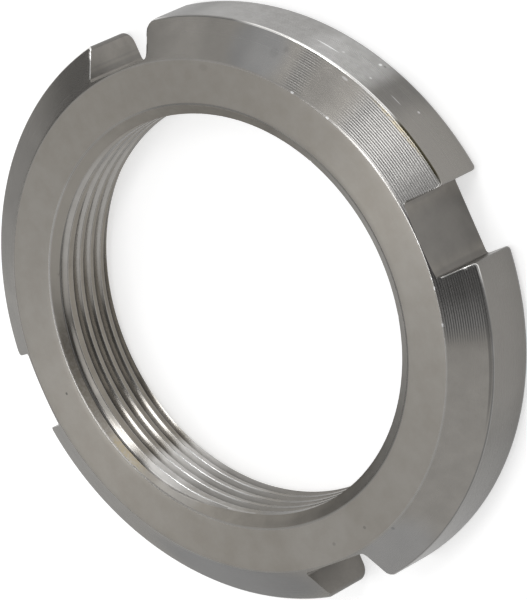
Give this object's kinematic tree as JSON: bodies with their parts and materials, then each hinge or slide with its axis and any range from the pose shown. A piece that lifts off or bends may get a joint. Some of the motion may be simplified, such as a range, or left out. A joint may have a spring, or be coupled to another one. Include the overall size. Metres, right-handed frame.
{
  "type": "lock nut",
  "caption": "Round slotted lock nut with a fine internal thread, a turned cone round its front face and spanner slots in its rim.",
  "frame": {"origin": "centre of the back face, on the thread's axis", "axes": "+Z along the thread's axis, from the flat back face to the front face with the turned cone; a slot opens along each of +X, -X, +Y and -Y"},
  "size_m": [0.0534, 0.0534, 0.008],
  "materials": {
    "turned_steel": "bare stainless steel, turned, with fine tool marks"
  },
  "bodies": {
    "root": {"lock_nut": "turned_steel"}
  },
  "joints": []
}
